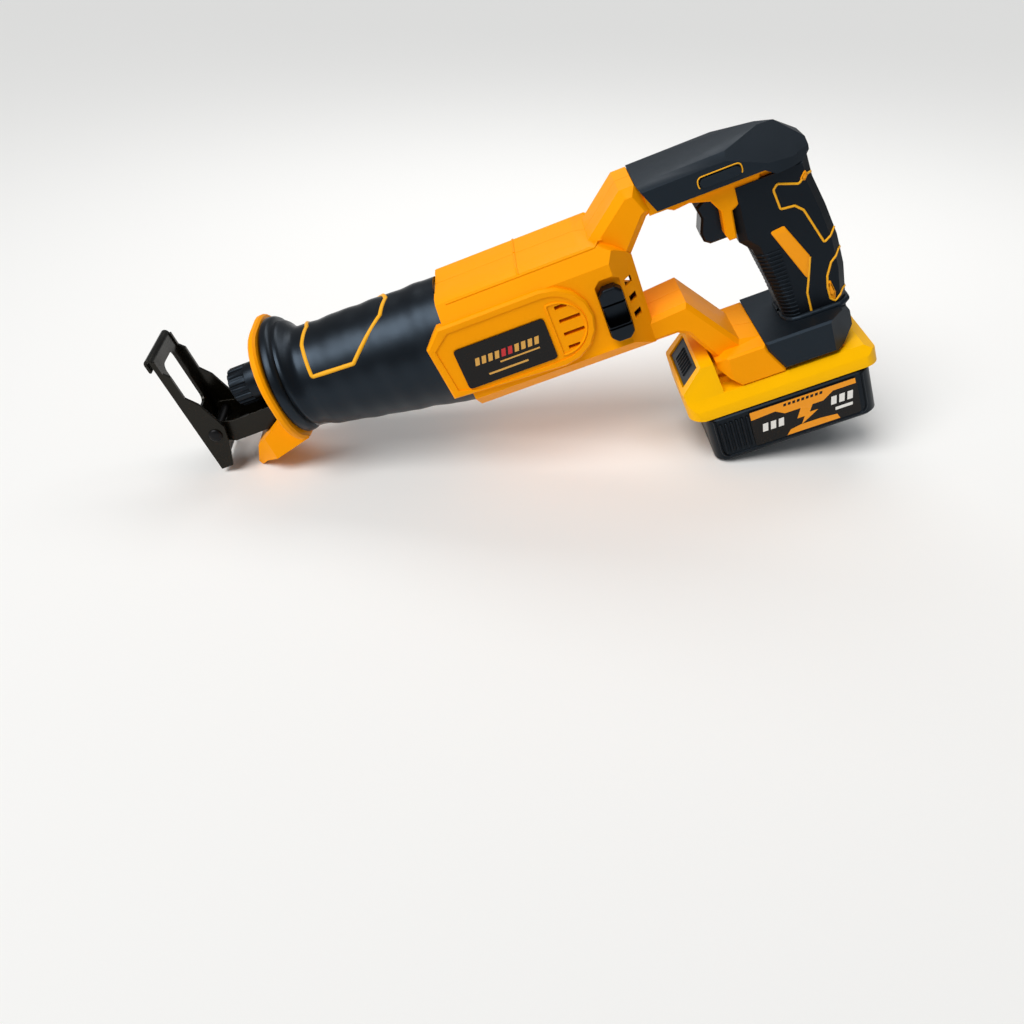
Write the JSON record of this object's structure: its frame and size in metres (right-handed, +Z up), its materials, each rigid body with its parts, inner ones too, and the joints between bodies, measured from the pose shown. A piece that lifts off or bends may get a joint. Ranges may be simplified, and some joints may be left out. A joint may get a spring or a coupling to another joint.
{
  "type": "reciprocating saw",
  "caption": "Cordless reciprocating saw with a D-shaped handle, rubber-booted nose, tilting shoe, twist-lock blade collar, variable trigger and a slide-on battery pack, resting nose down.",
  "frame": {"origin": "centre of the resting footprint, on the bench: the middle of the bounding box in plan, at its lowest point", "axes": "+X from the shoe towards the battery, along the tool in plan; +Y from the user's left side to the right; +Z up. The tool itself is tipped 19.9 degrees nose-down about Y, leaning on its guard lip and the front edge of the battery base"},
  "size_m": [0.509, 0.095, 0.2324],
  "materials": {
    "housing_yellow": "moulded ABS housing, fine satin grain",
    "battery_yellow": "moulded battery shoulder, brighter lemon yellow",
    "charcoal_rubber": "blue-grey soft overmould",
    "boot_rubber": "thick black rubber, matte",
    "black_plastic": "black moulded nylon",
    "label_black": "dark printed plate, semi gloss",
    "black_steel": "black lacquered pressed steel",
    "bright_steel": "ground steel",
    "cast_aluminium": "die cast",
    "bronze": "sintered bronze",
    "copper": "bare copper",
    "cell_wrap": "shrink wrapped cells",
    "board_green": "circuit board"
  },
  "bodies": {
    "saw_frame": {"housing_left": "housing_yellow", "housing_right": "housing_yellow", "handle_cover": "charcoal_rubber", "grip_rubber": "boot_rubber", "foot_cover": "charcoal_rubber", "name_plate_left": "label_black", "name_plate_right": "label_black", "front_boot": "boot_rubber", "nose_guard": "housing_yellow", "guard_screw_left": "black_steel", "guard_screw_right": "black_steel", "gear_case": "cast_aluminium", "gear_cover": "cast_aluminium", "plunger_seal": "boot_rubber", "front_bush": "bronze", "rear_bush": "bronze", "gear_post": "bright_steel", "front_bearing": "bright_steel", "rear_bearing": "bright_steel", "motor_can": "black_steel", "magnet_ring": "black_steel", "motor_cap": "black_plastic", "brush_left": "copper", "brush_right": "copper", "switch_module": "black_plastic", "speed_controller": "black_plastic", "contact_block": "black_plastic", "housing_screw_1": "black_steel", "housing_screw_2": "black_steel", "housing_screw_3": "black_steel", "housing_screw_4": "black_steel"},
    "plunger_unit": {"plunger": "bright_steel", "blade_clamp": "bright_steel", "clamp_spring": "bright_steel", "yoke": "bright_steel"},
    "collar": {"clamp_collar": "black_plastic"},
    "pin": {"clamp_pin": "bright_steel"},
    "crank": {"crank_gear": "bright_steel", "counterweight": "black_steel", "crank_roller": "bright_steel", "gear_bearing": "bronze"},
    "rotor": {"armature_shaft": "bright_steel", "pinion": "bright_steel", "fan": "black_plastic", "armature": "copper", "commutator": "copper"},
    "shoe_carrier": {"shoe_bracket": "black_steel", "shoe_rivet": "bright_steel"},
    "shoe": {"shoe_plate": "black_steel"},
    "trigger": {"trigger": "black_plastic", "trigger_spring": "bright_steel"},
    "lock": {"lock_button": "black_plastic"},
    "selector": {"selector_button": "black_plastic"},
    "battery": {"battery_lower_case": "black_plastic", "battery_upper_case": "battery_yellow", "battery_cells": "cell_wrap", "battery_board": "board_green", "battery_badge_left": "label_black", "battery_badge_right": "label_black"},
    "latch": {"battery_latch": "black_plastic"}
  },
  "joints": [
    {"name": "blade_stroke", "type": "slide", "parent": "saw_frame", "child": "plunger_unit", "axis": [0.9403, 0, 0.3403], "range_m": [-0.014, 0.014]},
    {"name": "collar_turn", "type": "hinge", "parent": "plunger_unit", "child": "collar", "pos_m": [-0.20159, 0, 0.0593], "axis": [0.9403, 0, 0.3403], "range_deg": [0, 70], "stiffness_Nm_per_rad": 0.15, "springref_deg": -11.46},
    {"name": "pin_lift", "type": "slide", "parent": "plunger_unit", "child": "pin", "axis": [0, 1, 0], "range_m": [0, 0.0008]},
    {"name": "crank_turn", "type": "hinge", "parent": "saw_frame", "child": "crank", "pos_m": [-0.07981, 0, 0.08424], "axis": [-0.3403, 0, 0.9403], "continuous": true},
    {"name": "motor_turn", "type": "hinge", "parent": "saw_frame", "child": "rotor", "pos_m": [0.01643, 0, 0.10631], "axis": [0.9403, 0, 0.3403], "continuous": true},
    {"name": "shoe_depth", "type": "slide", "parent": "saw_frame", "child": "shoe_carrier", "axis": [0.9403, 0, 0.3403], "range_m": [-0.008, 0.008]},
    {"name": "shoe_tilt", "type": "hinge", "parent": "shoe_carrier", "child": "shoe", "pos_m": [-0.22172, 0, 0.03266], "axis": [0, 1, 0], "range_deg": [-20, 20]},
    {"name": "trigger_pull", "type": "slide", "parent": "saw_frame", "child": "trigger", "axis": [0.9403, 0, 0.3403], "range_m": [0, 0.006], "stiffness_N_per_m": 600, "springref_m": -0.004},
    {"name": "lock_push", "type": "slide", "parent": "saw_frame", "child": "lock", "axis": [0, 1, 0], "range_m": [0, 0.003]},
    {"name": "selector_slide", "type": "slide", "parent": "saw_frame", "child": "selector", "axis": [-0.3403, 0, 0.9403], "range_m": [0, 0.005]},
    {"name": "battery_slide", "type": "slide", "parent": "saw_frame", "child": "battery", "axis": [-0.9403, 0, -0.3403], "range_m": [0, 0.09]},
    {"name": "latch_press", "type": "slide", "parent": "battery", "child": "latch", "axis": [0.887, 0, -0.4618], "range_m": [0, 0.003], "stiffness_N_per_m": 500, "springref_m": -0.003}
  ],
  "couplings": [
    {"joint": "motor_turn", "follows": "crank_turn", "ratio": -3.1111},
    {"joint": "pin_lift", "follows": "collar_turn", "m_per_rad": 0.00065481}
  ]
}
